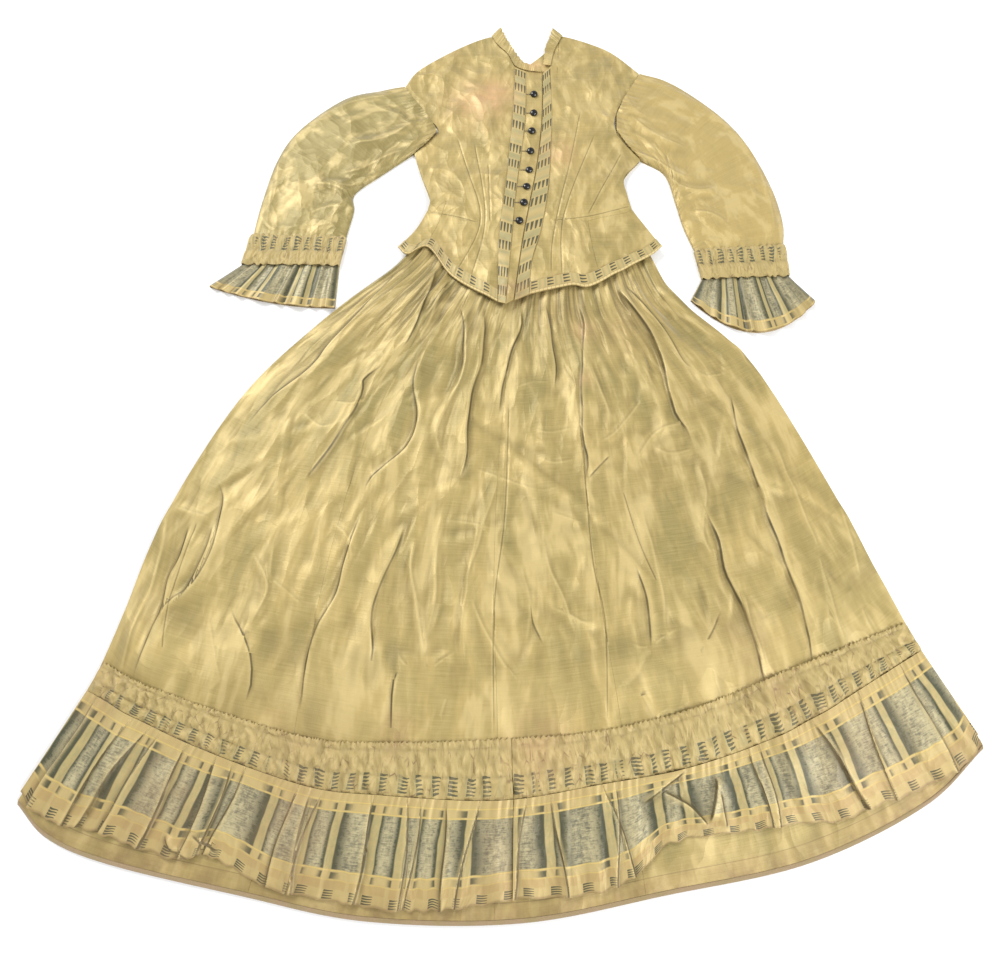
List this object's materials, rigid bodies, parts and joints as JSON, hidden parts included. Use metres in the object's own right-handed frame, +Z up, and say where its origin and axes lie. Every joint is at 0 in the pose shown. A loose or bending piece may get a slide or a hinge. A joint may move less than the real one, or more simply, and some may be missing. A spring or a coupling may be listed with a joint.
{
  "type": "taffeta dress laid flat",
  "caption": "Two-part taffeta dress laid flat: buttoned jacket bodice with peplum and long sleeves, over a gathered skirt with a patterned hem flounce.",
  "frame": {"origin": "on the flat underside of the skirt's back, which rests on the surface, near the middle of the skirt", "axes": "+X across the dress towards the wearer's left arm, +Y from the hem to the neck, +Z up from the surface the dress lies on"},
  "size_m": [1.216, 1.462, 0.0277],
  "materials": {
    "taffeta": "crisp straw-gold taffeta with a soft sheen and fine creases",
    "taffeta_trim": "cream and olive shaded ribbon with small black dashes",
    "shot_silk": "blue-grey and silver shaded silk blocks with cream bars",
    "wool_braid": "dull brown wool braid",
    "black_glass": "polished black glass"
  },
  "bodies": {
    "root": {"skirt_back": "taffeta", "skirt_side_left": "taffeta", "skirt_front_left": "taffeta", "skirt_front_middle": "taffeta", "skirt_side_right": "taffeta", "skirt_waistband_back": "taffeta", "skirt_waistband_front": "taffeta", "hem_braid_front": "wool_braid", "hem_braid_back": "wool_braid", "flounce_back": "shot_silk", "flounce_left": "shot_silk", "flounce_right": "shot_silk", "flounce_heading_left": "taffeta_trim", "flounce_heading_right": "taffeta_trim", "bodice_back": "taffeta", "peplum_back": "taffeta", "front_left": "taffeta", "front_right": "taffeta", "peplum_side_left": "taffeta", "peplum_side_right": "taffeta", "front_trim_left": "taffeta_trim", "front_trim_right": "taffeta_trim", "peplum_trim_left": "taffeta_trim", "peplum_trim_right": "taffeta_trim", "neck_frill_left": "taffeta", "neck_frill_right": "taffeta", "upper_sleeve_left": "taffeta", "upper_sleeve_right": "taffeta", "under_sleeve_left": "taffeta", "under_sleeve_right": "taffeta", "cuff_ruche_left": "taffeta_trim", "cuff_ruche_right": "taffeta_trim", "cuff_ruffle_left": "shot_silk", "cuff_ruffle_right": "shot_silk", "button_1": "black_glass", "button_2": "black_glass", "button_3": "black_glass", "button_4": "black_glass", "button_5": "black_glass", "button_6": "black_glass", "button_7": "black_glass", "button_8": "black_glass"}
  },
  "joints": []
}
